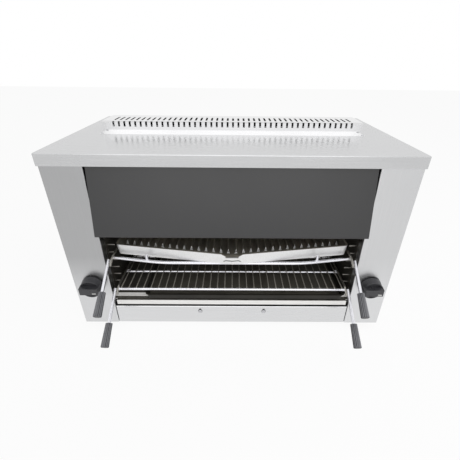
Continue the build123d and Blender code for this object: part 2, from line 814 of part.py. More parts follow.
# Venturi tubes from the burner boxes into the side bays, each with a flared mouth and an end disc
mouth_x = knob_x - injector_length / 2 - venturi_end
flare_x = mouth_x - venturi_flare
with BuildPart() as venturi:
    with BuildSketch(Plane.XY.offset(venturi_z)):
        with BuildLine():
            Polyline(
                (box_end_x, venturi_y + venturi_radius - venturi_wall),
                (box_end_x, venturi_y + venturi_radius),
                (flare_x, venturi_y + venturi_radius),
                (mouth_x, venturi_y + venturi_mouth_radius),
                (mouth_x + venturi_end, venturi_y + venturi_mouth_radius),
                (mouth_x + venturi_end, venturi_y + injector_spigot_radius),
                (mouth_x, venturi_y + injector_spigot_radius),
                (mouth_x, venturi_y + venturi_mouth_radius - venturi_wall),
                (flare_x, venturi_y + venturi_radius - venturi_wall),
                close=True,
            )
        make_face()
    revolve(axis=Axis((0, venturi_y, venturi_z), (1, 0, 0)))
save_pair(venturi, "venturi_tube")

# Brass injectors, each an elbow that points into its venturi
injector_face = mouth_x + venturi_end
with BuildPart() as injector:
    with BuildSketch(Plane.YZ.offset(mouth_x)):
        with Locations((venturi_y, venturi_z)):
            Circle(injector_spigot_radius)
    extrude(amount=venturi_end)
    with BuildSketch(Plane.YZ.offset(injector_face)):
        with Locations((venturi_y, venturi_z)):
            RegularPolygon(injector_radius, 6)
    extrude(amount=injector_length)
    with BuildSketch(Plane.XY.offset(venturi_z - injector_drop)):
        with Locations((knob_x, venturi_y)):
            Circle(injector_spigot_radius)
    extrude(amount=injector_drop)
save_pair(injector, "injector")

# Gas taps: a neck through the pillar, a round body, a valve block with bosses above and below
tap_axis = Plane.XZ.offset(-front)
block_y = front + tap_body_depth
block_top = knob_z + tap_block / 2
block_bottom = knob_z - tap_block / 2
with BuildPart() as gas_tap:
    with BuildSketch(tap_axis):
        with Locations((knob_x, knob_z)):
            Circle(tap_neck_radius)
    extrude(amount=-sheet)
    with BuildSketch(tap_axis.offset(-sheet)):
        with Locations((knob_x, knob_z)):
            Circle(tap_radius)
    extrude(amount=-(tap_body_depth - sheet))
    with BuildSketch(Plane.XZ.offset(-block_y)):
        with Locations((knob_x, knob_z)):
            Rectangle(tap_block, tap_block)
    extrude(amount=-tap_block_depth)
    with BuildSketch(Plane.XY.offset(block_bottom - tap_boss_length)):
        with Locations((knob_x, venturi_y)):
            Circle(tap_boss_radius)
    extrude(amount=tap_block + 2 * tap_boss_length)
    with BuildSketch(tap_axis):
        with Locations((knob_x, knob_z)):
            Circle(plunger_radius + tap_fit)
    extrude(amount=-tap_bore_depth, mode=Mode.SUBTRACT)
save_pair(gas_tap, "gas_tap")

# Pipes from the taps up to the injectors
boss_top = block_top + tap_boss_length
with BuildPart() as tap_pipe:
    with BuildSketch(Plane.XY.offset(boss_top)):
        with Locations((knob_x, venturi_y)):
            Circle(pipe_radius)
    extrude(amount=venturi_z - injector_drop - boss_top)
save_pair(tap_pipe, "tap_pipe")

# Gas manifold under the shelf, from tap to tap, with a branch towards the inlet
boss_bottom = block_bottom - tap_boss_length
with BuildPart() as gas_manifold:
    with BuildLine(Plane.XZ.offset(-venturi_y)) as manifold_path:
        FilletPolyline(
            (-knob_x, boss_bottom),
            (-knob_x, manifold_z),
            (knob_x, manifold_z),
            (knob_x, boss_bottom),
            radius=manifold_bend_radius,
        )
    with BuildSketch(Plane(manifold_path.line @ 0, z_dir=manifold_path.line % 0)):
        Circle(manifold_radius)
    sweep()
    with BuildSketch(Plane.XZ.offset(-venturi_y)):
        with Locations((branch_x, manifold_z)):
            Circle(manifold_radius * branch_share)
    extrude(amount=-branch_length)
save(gas_manifold, "gas_manifold")

# Gas inlet pipe with a threaded end through the back panel, and its locknut
inlet_start = venturi_y + branch_length
thread_start = back_inside - inlet_thread_inside
relief_start = back_face + nut_thickness
inlet_end = back_face + inlet_projection
inlet_steps = [
    (inlet_start, thread_start, manifold_radius),
    (thread_start, relief_start, inlet_thread_radius),
    (relief_start, relief_start + inlet_relief, inlet_relief_radius),
    (relief_start + inlet_relief, inlet_end, inlet_thread_radius),
]
with BuildPart() as gas_inlet:
    for step_start, step_end, radius in inlet_steps:
        with BuildSketch(Plane.XZ.offset(-step_start)):
            with Locations((branch_x, manifold_z)):
                Circle(radius)
        extrude(amount=step_start - step_end)
    with BuildSketch(Plane.XZ.offset(-inlet_end)):
        with Locations((branch_x, manifold_z)):
            Circle(inlet_bore_radius)
    extrude(amount=inlet_bore_depth, mode=Mode.SUBTRACT)
save(gas_inlet, "gas_inlet")

with BuildPart() as inlet_locknut:
    with BuildSketch(Plane.XZ.offset(-back_face)):
        with Locations((branch_x, manifold_z)):
            RegularPolygon(nut_radius, 6)
            Circle(inlet_thread_radius, mode=Mode.SUBTRACT)
    extrude(amount=-nut_thickness)
save(inlet_locknut, "inlet_locknut")

# Plungers that a pushed knob drives into its tap
with BuildPart() as plunger:
    with BuildSketch(tap_axis.offset(-plunger_depth)):
        with Locations((knob_x, knob_z)):
            Circle(plunger_radius)
    extrude(amount=-plunger_length)
    with BuildSketch(tap_axis.offset(-plunger_depth)):
        with Locations((knob_x, knob_z)):
            Circle(spindle_radius + tap_fit)
    extrude(amount=-plunger_socket, mode=Mode.SUBTRACT)
save_pair(plunger, "tap_plunger")

# Spindles from the knobs into the plungers
spindle_end = plunger_depth + plunger_socket - running_gap
spindle_front = knob_travel_gap + spindle_socket
with BuildPart() as spindle:
    with BuildSketch(tap_axis.offset(spindle_front)):
        with Locations((knob_x, knob_z)):
            Circle(spindle_radius)
    extrude(amount=-(spindle_front + spindle_end))
save_pair(spindle, "tap_spindle")

# Knobs: a tapered skirt with a dished face and a bar grip across it
skirt_plane = tap_axis.offset(knob_travel_gap)
face_plane = skirt_plane.offset(knob_skirt)
with BuildPart() as knob:
    with BuildSketch(skirt_plane):
        with Locations((knob_x, knob_z)):
            Circle(knob_radius)
    extrude(amount=knob_skirt, taper=knob_skirt_taper)
    face_radius = knob_radius - knob_skirt * tan(radians(knob_skirt_taper))
    with BuildSketch(face_plane):
        with Locations((knob_x, knob_z)):
            Circle(face_radius - knob_dish_rim)
    extrude(amount=-knob_dish, taper=knob_dish_taper, mode=Mode.SUBTRACT)
    with BuildSketch(face_plane.offset(-knob_dish)):
        with Locations((knob_x, knob_z)):
            Rectangle(knob_bar_length, knob_bar_width)
    extrude(amount=knob_dish + knob_bar_rise, taper=knob_bar_taper)
    chamfer(knob.edges().group_by(Axis.Y)[0], knob_bar_chamfer)
    with BuildSketch(skirt_plane):
        with Locations((knob_x, knob_z)):
            Circle(spindle_radius + glue_gap)
    extrude(amount=spindle_socket + glue_gap, mode=Mode.SUBTRACT)
save_pair(knob, "knob")
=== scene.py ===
import json
import math

import bmesh
import bpy
from mathutils import Matrix, Vector


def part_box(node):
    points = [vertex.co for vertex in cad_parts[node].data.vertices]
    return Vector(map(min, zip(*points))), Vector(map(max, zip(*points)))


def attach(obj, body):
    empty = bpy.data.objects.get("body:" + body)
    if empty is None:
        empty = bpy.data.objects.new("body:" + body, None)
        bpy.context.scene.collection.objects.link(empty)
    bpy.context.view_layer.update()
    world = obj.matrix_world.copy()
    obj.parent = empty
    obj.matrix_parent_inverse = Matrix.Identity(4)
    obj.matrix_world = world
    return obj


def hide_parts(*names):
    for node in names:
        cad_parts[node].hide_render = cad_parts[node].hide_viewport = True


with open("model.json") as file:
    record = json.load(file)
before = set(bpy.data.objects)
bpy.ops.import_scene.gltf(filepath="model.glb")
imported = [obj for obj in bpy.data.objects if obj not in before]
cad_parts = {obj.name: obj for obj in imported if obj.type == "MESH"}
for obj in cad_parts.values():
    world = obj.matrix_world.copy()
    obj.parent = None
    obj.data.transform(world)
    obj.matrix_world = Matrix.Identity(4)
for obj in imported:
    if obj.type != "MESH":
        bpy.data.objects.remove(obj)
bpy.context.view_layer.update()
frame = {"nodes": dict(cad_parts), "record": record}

# Dressing of a gas salamander grill: finishes, weld beads, screws, a pipe thread and knob marks.
# Lengths are in metres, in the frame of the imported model: x to the right, y to the back and z up.

nodes = frame["nodes"]
casing_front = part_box("right_front_pillar")[0].y
casing_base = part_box("right_front_pillar")[0].z
to_front = (0, -1, 0)
to_back = (0, 1, 0)
to_top = (0, 0, 1)

# Camera: its place from the foot of the pillars' front faces, its turn and its lens
camera_offset = Vector((0.00249, -0.68772, 0.71327))
camera_pitch = math.radians(29.42)
camera_yaw = math.radians(0.54)
camera_roll = math.radians(0.615)
camera_lens = 24.13
camera_shift = (-0.01257, 0.0)
camera_near = 0.01

# Light
sky_strength = 0.5
key_place = Vector((1.8, -1.2, 2.4))
key_target = Vector((0.0, -0.1, 0.2))
key_size = 3.0
key_power = 40.0
fill_place = Vector((0.0, -3.0, 1.5))
fill_target = Vector((0.0, 0.0, 0.3))
fill_size = 3.3
fill_power = 24.0

# Floor, with the shares of plain white in it for the camera and for reflections
floor_half = 8.0
floor_cells = 8
floor_colour = (0.86, 0.86, 0.86)
floor_seen = 0.92
floor_mirrored = 0.92

# Rods of the racks
side_rod_radius = 0.003
bar_radius = 0.004
cross_pitch = 0.08
cross_count = 4
rack_bend_depth = 0.009
handle_slope = math.radians(33.0)
handle_run = Vector((0, -math.cos(handle_slope), -math.sin(handle_slope)))
handle_top = Vector((0, -math.sin(handle_slope), math.cos(handle_slope)))

# Weld beads: one ripple, and how much of its size varies along a bead
bead_radius = 0.0016
bead_squash = Matrix.Diagonal((0.75, 1.0, 0.85, 1.0))
bead_variation = 0.12
bead_ripple_phase = 2.7
bead_place_phase = 40.0

# Seams beside the cross rods, from the side rod's axis and as a share of the cross rod's radius
seam_start = 0.006
seam_end = 0.0025
seam_offset = 0.8
seam_ripples = 4

# Beads under the handles' tails, round the ends of the front bar and round the upright stops
tail_start = 0.012
tail_end = 0.025
tail_drop = 0.0022
tail_ripples = 12
tail_bead_share = 0.85
bar_ripples = 22
bar_bead_share = 0.6
stop_sink = 0.0004
stop_ripples = 16
stop_bead_share = 0.8

# Screws, with profiles as shares of the radius and the rise
screw_steps = 20
screw_profile = ((1.0, 0.0), (1.0, 0.4), (0.94, 0.72), (0.8, 0.93), (0.62, 1.0))
shank_share = 0.53
recess_reach = 0.5
recess_half = 0.12
recess_taper = 0.5
recess_floor = 0.3
washer_profile = ((0.5, 0.0), (0.97, 0.0), (1.0, 0.35), (0.97, 1.0), (0.5, 1.0))
washer_steps = 40
washer_share = 1.2
washer_rise = 0.0009
cowl_screw_radius = 0.0035
cowl_screw_rise = 0.0013
casing_screw_radius = 0.004
casing_screw_rise = 0.0022
casing_screw_inset = 0.012
back_screw_shares = (-1, -0.33, 0.33, 1)

# Gas inlet with its thread
inlet_tail_radius = 0.008
inlet_bore_radius = 0.0065
inlet_bore_depth = 0.024
thread_lead = 0.012
thread_pitch = 0.001814
thread_depth = 0.00116
thread_steps = 40
thread_samples = 6
relief_length = 0.0015
relief_share = 0.6

# Mark on each knob's bar
mark_length = 0.011
mark_width = 0.0026
mark_reach = 0.015
mark_drop = 0.0035
mark_rise = 0.0003
mark_shoulder = 0.5
mark_top_share = 0.9
mark_steps = 8

# Edges of added pieces that stay sharp
sharp_angle = math.radians(38)

# Patterns of the finishes, in repeats a metre, and the depths of their relief
grain_scale = 520.0
texture_scale = 1400.0
handling_scale = 40.0
fine_relief = 0.0002
grainy_relief = 0.0003
pore_relief = 0.0008

# Heights above the casing's foot between which a painted reflection of the bright floor makes the
# pillars' sheet lighter towards the foot
foot_fade_start = 0.1
foot_fade_end = 0.24

# Heights above the drip tray's underside between which its floor, with its painted light, turns into its
# walls
tray_floor_start = 0.004
tray_floor_end = 0.012

# Depths, from the pillars' faces, between which the branding plate's bright front lip ends
plate_lip_start = -0.028
plate_lip_end = -0.024

# Painted shadow of the lip under the branding plate's spout
spout_half = 0.016
lip_shadow_height = 0.2452
lip_shadow_half = 0.0012
lip_shadow_soft = 0.0024
lip_shadow_droop = 0.5
lip_shadow_overhang = 0.005
lip_shadow_fade = 0.009
lip_shadow_share = 0.8

# Stretch of a grain along an axis, and the colour of the casing's sheet
along_x = (0.02, 1, 1)
along_z = (1, 1, 0.02)
sheet_colour = (0.66, 0.663, 0.67)


def place_camera():
    """Camera at the photograph's viewing angle."""
    forward = Vector((
        math.sin(camera_yaw) * math.cos(camera_pitch),
        math.cos(camera_yaw) * math.cos(camera_pitch),
        -math.sin(camera_pitch),
    ))
    level = Vector((math.cos(camera_yaw), -math.sin(camera_yaw), 0))
    upright = level.cross(forward)
    right = level * math.cos(camera_roll) + upright * math.sin(camera_roll)
    up = upright * math.cos(camera_roll) - level * math.sin(camera_roll)
    data = bpy.data.cameras.new("camera")
    data.lens = camera_lens
    data.shift_x, data.shift_y = camera_shift
    data.clip_start = camera_near
    camera = bpy.data.objects.new("camera", data)
    turn = Matrix((right, up, -forward)).transposed().to_4x4()
    place = Vector((0, casing_front, casing_base)) + camera_offset
    camera.matrix_world = Matrix.Translation(place) @ turn
    bpy.context.scene.collection.objects.link(camera)
    bpy.context.scene.camera = camera


class NodeTree:
    """A tree of shader nodes that are placed one by one and joined by name."""

    def __init__(self, tree):
        self.tree = tree

    def node(self, kind, **settings):
        """A new node, with its own settings."""
        made = self.tree.nodes.new(kind)
        for key, value in settings.items():
            setattr(made, key, value)
        return made

    def enter(self, entry, value):
        """Link a socket to an input, or set the input to a fixed value."""
        if isinstance(value, bpy.types.NodeSocket):
            self.tree.links.new(value, entry)
        elif isinstance(value, tuple) and len(entry.default_value) == 4:
            entry.default_value = (*value, 1.0)
        else:
            entry.default_value = value

    def feed(self, node, **values):
        """Fill a node's inputs by name, where _ stands for a space."""
        for key, value in values.items():
            self.enter(node.inputs[key.replace("_", " ")], value)
        return node

    def combine(self, operation, *values):
        """Sum, product or other operation on numbers."""
        made = self.node("ShaderNodeMath", operation=operation)
        for entry, value in zip(made.inputs, values):
            self.enter(entry, value)
        return made.outputs["Value"]

    def blend(self, factor, first, second):
        """Mix of two shaders."""
        made = self.node("ShaderNodeMixShader")
        for entry, value in zip(made.inputs, (factor, first, second)):
            self.enter(entry, value)
        return made.outputs["Shader"]

    def seen_rays(self):
        """Sockets that are 1 for rays from the camera, and for reflections and transmission."""
        path = self.node("ShaderNodeLightPath").outputs
        mirrored = self.combine("MAXIMUM", path["Is Glossy Ray"], path["Is Transmission Ray"])
        return path["Is Camera Ray"], mirrored


class Finish(NodeTree):
    """A material of the part, whose patterns lie on the object itself."""

    # Sockets of a colour mix, whose names are shared with those for other kinds of data
    mix_entries = (0, 6, 7)
    mix_result = 2

    def __init__(self, name):
        self.material = bpy.data.materials.new(name)
        self.material.use_nodes = True
        super().__init__(self.material.node_tree)
        self.shader = self.tree.nodes["Principled BSDF"]
        self.place = self.node("ShaderNodeTexCoord").outputs["Object"]

    def noise(self, scale, detail=3.0, stretch=(1, 1, 1), roughness=0.5):
        """Noise from 0 to 1, drawn out along the axes whose stretch is small."""
        mapping = self.feed(self.node("ShaderNodeMapping"), Vector=self.place, Scale=stretch)
        noise = self.feed(
            self.node("ShaderNodeTexNoise"),
            Vector=mapping.outputs["Vector"],
            Scale=scale,
            Detail=detail,
            Roughness=roughness,
        )
        return noise.outputs["Fac"]

    def span(self, value, low, high, start=0.3, end=0.7):
        """The value's range from start to end, spread from low to high."""
        ranged = self.node("ShaderNodeMapRange")
        self.feed(ranged, Value=value, From_Min=start, From_Max=end, To_Min=low, To_Max=high)
        return ranged.outputs["Result"]

    def mix(self, factor, first, second):
        """Mix of two colours."""
        made = self.node("ShaderNodeMix", data_type="RGBA")
        for place, value in zip(self.mix_entries, (factor, first, second)):
            self.enter(made.inputs[place], value)
        return made.outputs[self.mix_result]

    def tone(self, colour, share):
        """A colour made lighter or darker by a number that changes over the surface."""
        made = self.node("ShaderNodeVectorMath", operation="SCALE")
        return self.feed(made, Vector=colour, Scale=share).outputs["Vector"]

    def bump(self, height, strength, distance):
        """Fine relief on the surface."""
        made = self.feed(self.node("ShaderNodeBump"), Height=height, Strength=strength, Distance=distance)
        self.feed(self.shader, Normal=made.outputs["Normal"])

    def along(self, axis):
        """Place along an axis, in metres."""
        return self.feed(self.node("ShaderNodeSeparateXYZ"), Vector=self.place).outputs[axis]

    def fade(self, axis, low, high, start, end):
        """A number that runs from low to high between two places along an axis."""
        return self.span(self.along(axis), low, high, start, end)

    def facing(self, axis):
        """How far the true surface faces along an axis, from -1 to 1."""
        made = self.node("ShaderNodeVectorMath", operation="DOT_PRODUCT")
        normal = self.node("ShaderNodeNewGeometry").outputs["True Normal"]
        for entry, value in zip(made.inputs, (normal, axis)):
            self.enter(entry, value)
        return made.outputs["Value"]


def scaled(colour, share):
    """A colour made lighter or darker."""
    return tuple(share * c for c in colour)


def brushed_metal(name, colour, roughness, grain, rim_tint=0.85, front_shade_share=1.0, foot_light_share=1.0):
    """Rolled sheet with a fine grain and wiping marks, with painted shade on the faces that look forward
    and painted light, as the floor's reflection, towards the foot.
    """
    finish = Finish(name)
    lines = finish.noise(grain_scale, stretch=grain, roughness=0.55)
    wiping = finish.noise(scale=4.0, detail=4.0, roughness=0.55)
    grained = finish.mix(finish.span(lines, 0, 1), scaled(colour, 0.96), scaled(colour, 1.02))
    wiped = finish.mix(finish.span(wiping, 0, 0.5), grained, scaled(colour, 0.95))
    # Painted shade on the faces that look forward, and painted light from the floor's reflection towards
    # the foot
    front = finish.span(finish.facing(to_front), 1.0, front_shade_share, start=0.5, end=0.9)
    foot = finish.fade("Z", foot_light_share, 1.0, casing_base + foot_fade_start, casing_base + foot_fade_end)
    finish.feed(
        finish.shader,
        Base_Color=finish.tone(wiped, finish.combine("MULTIPLY", front, foot)),
        Metallic=1.0,
        Specular_Tint=(rim_tint, rim_tint, rim_tint),
        Roughness=finish.combine(
            "ADD",
            finish.span(lines, roughness - 0.03, roughness + 0.03),
            finish.span(wiping, -0.02, 0.03),
        ),
    )
    finish.bump(lines, strength=0.02, distance=fine_relief)
    return finish.material


def painted_metal(name, colour, roughness, gloss=0.5):
    """Satin paint with a faint orange peel and wiping marks."""
    finish = Finish(name)
    peel = finish.noise(scale=900.0, detail=2.0)
    wiping = finish.noise(scale=7.0, detail=4.0, stretch=(1, 1, 0.4))
    finish.feed(
        finish.shader,
        Base_Color=finish.mix(finish.span(wiping, 0, 1), scaled(colour, 0.95), scaled(colour, 1.05)),
        Roughness=finish.span(wiping, roughness - 0.04, roughness + 0.04),
        Specular_IOR_Level=gloss,
    )
    finish.bump(peel, strength=0.06, distance=grainy_relief)
    return finish.material


def heated_metal(name):
    """Sheet browned and blackened by heat, with soot in patches."""
    finish = Finish(name)
    patches = finish.noise(scale=9.0, detail=6.0, stretch=(1, 1, 0.6), roughness=0.6)
    specks = finish.noise(scale=240.0)
    brown = finish.mix(finish.span(patches, 0, 1), (0.035, 0.032, 0.027), (0.07, 0.065, 0.055))
    soot = finish.span(specks, 0, 0.4, start=0.45, end=0.8)
    finish.feed(
        finish.shader,
        Base_Color=finish.mix(soot, brown, (0.03, 0.027, 0.022)),
        Metallic=0.3,
        Roughness=finish.span(patches, 0.42, 0.66),
    )
    finish.bump(specks, strength=0.12, distance=grainy_relief)
    return finish.material


def tray_metal(name):
    """Dark satin tray with a film of grease, and painted light that makes its upward floor paler than its
    walls.
    """
    finish = Finish(name)
    film = finish.noise(scale=14.0, detail=5.0, roughness=0.6)
    specks = finish.noise(scale=320.0)
    base_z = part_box("drip_tray")[0].z
    # Painted light: the tray's floor, low and facing up, is made paler than its walls
    low = finish.fade("Z", 1.0, 0.0, base_z + tray_floor_start, base_z + tray_floor_end)
    upward = finish.span(finish.facing(to_top), 0.0, 1.0, start=0.4, end=0.9)
    wall = finish.mix(finish.span(film, 0, 1), (0.018, 0.0165, 0.0135), (0.032, 0.0295, 0.024))
    floor = finish.mix(finish.span(film, 0, 1), (0.09, 0.083, 0.069), (0.15, 0.14, 0.118))
    finish.feed(
        finish.shader,
        Base_Color=finish.mix(finish.combine("MULTIPLY", low, upward), wall, floor),
        Metallic=0.2,
        Specular_IOR_Level=0.25,
        Roughness=finish.span(film, 0.3, 0.5),
    )
    finish.bump(specks, strength=0.1, distance=grainy_relief)
    return finish.material


def plated_rod(name, front_colour, heated_colour, metallic, heat_start, heat_end):
    """Plating with fine scratches, dulled and browned by heat between two depths in the grill."""
    finish = Finish(name)
    scratches = finish.noise(scale=700.0)
    clouds = finish.noise(scale=30.0)
    heat = finish.fade("Y", 0.0, 0.8, casing_front + heat_start, casing_front + heat_end)
    bright = finish.mix(finish.span(clouds, 0, 1), front_colour, scaled(front_colour, 1.08))
    dulling = finish.combine("MULTIPLY", heat, 0.12)
    finish.feed(
        finish.shader,
        Base_Color=finish.mix(heat, bright, heated_colour),
        Metallic=metallic,
        Roughness=finish.combine("ADD", finish.span(scratches, 0.22, 0.34), dulling),
    )
    finish.bump(scratches, strength=0.03, distance=fine_relief)
    return finish.material


def painted_lip_shadow(finish):
    """Share of painted shadow, cast by the spout's lip, in the line that runs under the plate's spout and
    droops to both sides.
    """
    side = finish.combine("ABSOLUTE", finish.along("X"))
    beyond = finish.combine("MAXIMUM", finish.combine("SUBTRACT", side, spout_half), 0.0)
    height = finish.combine("ADD", finish.along("Z"), finish.combine("MULTIPLY", beyond, lip_shadow_droop))
    offset = finish.combine("ABSOLUTE", finish.combine("SUBTRACT", height, casing_base + lip_shadow_height))
    line = finish.span(offset, lip_shadow_share, 0.0, start=lip_shadow_half, end=lip_shadow_soft)
    across = finish.span(side, 1.0, 0.0, start=spout_half + lip_shadow_overhang, end=spout_half + lip_shadow_fade)
    return finish.combine("MULTIPLY", line, across)


def cast_metal(name):
    """Cast aluminium, bright where it faces forward and burnt dark on the cooking side, with a painted
    highlight on the rib ends and a painted shadow under the spout.
    """
    finish = Finish(name)
    sand = finish.noise(scale=380.0, detail=4.0)
    burn = finish.noise(scale=26.0, detail=6.0, stretch=(1, 0.5, 1), roughness=0.65)
    facing = finish.span(finish.facing(to_front), 0.0, 1.0, start=0.15, end=0.4)
    lip = finish.fade("Y", 1.0, 0.0, casing_front + plate_lip_start, casing_front + plate_lip_end)
    forward = finish.combine("MAXIMUM", facing, lip)
    # Painted highlight on the rib ends, which face forward and partly up: a brighter colour and less
    # metallic
    rib_end = finish.span(finish.facing(to_top), 0.0, 1.0, start=0.2, end=0.35)
    edge = finish.combine("MULTIPLY", rib_end, facing)
    bright = finish.mix(finish.span(sand, 0, 1), (0.76, 0.76, 0.755), (0.86, 0.86, 0.855))
    burnt = finish.mix(finish.span(burn, 0, 1), (0.18, 0.168, 0.14), (0.34, 0.316, 0.27))
    rib_end_highlight = finish.mix(edge, bright, (0.95, 0.95, 0.94))
    # Painted shadow of the spout's lip, dark on the plate's front wall below it
    lip_shadowed = finish.mix(painted_lip_shadow(finish), rib_end_highlight, (0.06, 0.056, 0.05))
    metallic = finish.span(forward, 0.3, 0.7, start=0, end=1)
    roughness = finish.span(forward, 0.5, 0.36, start=0, end=1)
    finish.feed(
        finish.shader,
        Base_Color=finish.mix(forward, burnt, lip_shadowed),
        Metallic=finish.combine("SUBTRACT", metallic, finish.combine("MULTIPLY", edge, 0.4)),
        Roughness=finish.combine("ADD", roughness, finish.span(sand, -0.05, 0.05)),
    )
    finish.bump(sand, strength=0.08, distance=grainy_relief)
    return finish.material


def shelf_metal(name):
    """Sheet with painted light that keeps its forward faces bright, and brown on its other faces, partly
    stains where fat and heat reach it and partly painted shade.
    """
    finish = Finish(name)
    lines = finish.noise(grain_scale, stretch=along_x, roughness=0.55)
    stains = finish.noise(scale=18.0, detail=5.0, roughness=0.6)
    # Painted light on the faces that look forward; the other faces are brown, partly stains and partly
    # painted shade
    forward = finish.span(finish.facing(to_front), 0.0, 1.0, start=0.2, end=0.5)
    bright = finish.mix(finish.span(lines, 0, 1), (0.86, 0.85, 0.83), (0.94, 0.93, 0.91))
    brown = finish.mix(finish.span(stains, 0, 1), (0.06, 0.056, 0.048), (0.12, 0.113, 0.098))
    roughness = finish.span(forward, 0.45, 0.36, start=0, end=1)
    finish.feed(
        finish.shader,
        Base_Color=finish.mix(forward, brown, bright),
        Metallic=0.25,
        Roughness=finish.combine("ADD", roughness, finish.span(stains, -0.05, 0.05)),
    )
    finish.bump(lines, strength=0.02, distance=fine_relief)
    return finish.material


def moulded_plastic(name, colour, roughness):
    """Moulded plastic with a fine texture."""
    finish = Finish(name)
    texture = finish.noise(texture_scale, detail=2.0)
    handling = finish.noise(handling_scale)
    finish.feed(
        finish.shader,
        Base_Color=finish.mix(finish.span(handling, 0, 1), colour, scaled(colour, 1.25)),
        Roughness=finish.span(handling, roughness - 0.05, roughness + 0.06),
    )
    finish.bump(texture, strength=0.1, distance=fine_relief)
    return finish.material


def ribbed_plastic(name):
    """Moulded plastic with painted light on the ribs of a handle's upper side and painted shade below."""
    finish = Finish(name)
    texture = finish.noise(texture_scale, detail=2.0)
    handling = finish.noise(handling_scale)
    # Painted light on the upper side of the handle and painted shade below, as a lamp above would give
    upper = finish.span(finish.facing(handle_top), 0.0, 1.0, start=0.35, end=0.97)
    painted_lit_ribs = finish.mix(finish.span(handling, 0, 1), (0.16, 0.162, 0.174), (0.22, 0.222, 0.236))
    finish.feed(
        finish.shader,
        Base_Color=finish.mix(upper, (0.018, 0.018, 0.021), painted_lit_ribs),
        Roughness=finish.span(handling, 0.38, 0.5),
    )
    finish.bump(texture, strength=0.1, distance=fine_relief)
    return finish.material


def plaque_ceramic(name):
    """Porous ceramic with rows of fine burner holes, painted dark as the shade inside them."""
    finish = Finish(name)
    cells = finish.node("ShaderNodeTexVoronoi")
    pores = finish.feed(cells, Vector=finish.place, Scale=320.0, Randomness=0.15).outputs["Distance"]
    # Painted shade in the burner holes
    shaded_hole = finish.span(pores, 1.0, 0.0, start=0.28, end=0.36)
    finish.feed(
        finish.shader,
        Base_Color=finish.mix(shaded_hole, (0.62, 0.53, 0.42), (0.08, 0.06, 0.05)),
        Roughness=finish.span(finish.noise(scale=60.0), 0.8, 0.95),
    )
    finish.bump(pores, strength=0.3, distance=pore_relief)
    return finish.material


# Finish of each material slot in the record
finishes = {
    "stainless": brushed_metal("brushed_sheet", sheet_colour, roughness=0.2, grain=along_x),
    "hood_paint": painted_metal("charcoal_paint", (0.024, 0.024, 0.025), roughness=0.3, gloss=0.62),
    "heated_steel": heated_metal("heated_sheet"),
    "tray_enamel": tray_metal("dark_tray"),
    "chromed_rod": plated_rod(
        "bright_plating",
        front_colour=(0.8, 0.8, 0.84),
        heated_colour=(0.45, 0.42, 0.37),
        metallic=1.0,
        heat_start=0.12,
        heat_end=0.26,
    ),
    "stud_steel": brushed_metal("turned_steel", (0.24, 0.23, 0.21), roughness=0.45, grain=along_x),
    "fasteners": brushed_metal("plated_screws", (0.58, 0.58, 0.6), roughness=0.22, grain=along_x),
    "cast_plate": cast_metal("cast_aluminium"),
    "grip_plastic": ribbed_plastic("grip_plastic"),
    "knob_plastic": moulded_plastic("knob_plastic", (0.037, 0.037, 0.041), roughness=0.32),
    "foot_plastic": moulded_plastic("foot_plastic", (0.025, 0.025, 0.025), roughness=0.6),
    "plaque_ceramic": plaque_ceramic("porous_ceramic"),
    "brass": brushed_metal("machined_brass", (0.72, 0.52, 0.22), roughness=0.25, grain=along_x),
    "pipe_steel": brushed_metal("drawn_tube", (0.5, 0.5, 0.51), roughness=0.3, grain=along_x),
}

# Finishes of single nodes and added pieces
upright_sheet = brushed_metal("upright_brushed_sheet", sheet_colour, roughness=0.32, grain=along_z)
# Darker copy of the casing's sheet for the left pillar, as painted shade, lighter towards the foot as a
# painted reflection of the floor
shaded_left_sheet = brushed_metal(
    "shaded_left_brushed_sheet",
    scaled(sheet_colour, 0.66),
    roughness=0.32,
    grain=along_z,
    foot_light_share=1.55,
)
# The right pillar's sheet is lighter towards the foot, as a painted reflection of the floor
right_sheet = brushed_metal(
    "right_brushed_sheet",
    scaled(sheet_colour, 0.98),
    roughness=0.32,
    grain=along_z,
    foot_light_share=1.12,
)
# Lighter copy of the casing's sheet for the lid, as painted light, with painted shade on its
# forward-facing lip
lid_sheet = brushed_metal(
    "lid_brushed_sheet",
    scaled(sheet_colour, 1.06),
    roughness=0.24,
    grain=along_x,
    front_shade_share=0.86,
)
# Lighter copy of the casing's sheet for the lower panel, as painted light
panel_sheet = brushed_metal(
    "panel_brushed_sheet",
    scaled(sheet_colour, 1.08),
    roughness=0.24,
    grain=along_x,
)
bright_sheet = brushed_metal(
    "bright_brushed_sheet",
    (0.74, 0.74, 0.745),
    roughness=0.12,
    grain=along_x,
    rim_tint=1.0,
)
stained_and_lit_sheet = shelf_metal("stained_and_lit_shelf_sheet")
dull_wire = plated_rod(
    "dull_wire_plating",
    front_colour=(0.5, 0.475, 0.425),
    heated_colour=(0.14, 0.13, 0.11),
    metallic=0.3,
    heat_start=0.02,
    heat_end=0.14,
)
dull_rod = plated_rod(
    "dull_rod_plating",
    front_colour=(0.42, 0.405, 0.37),
    heated_colour=(0.3, 0.28, 0.24),
    metallic=0.85,
    heat_start=0.0,
    heat_end=0.2,
)
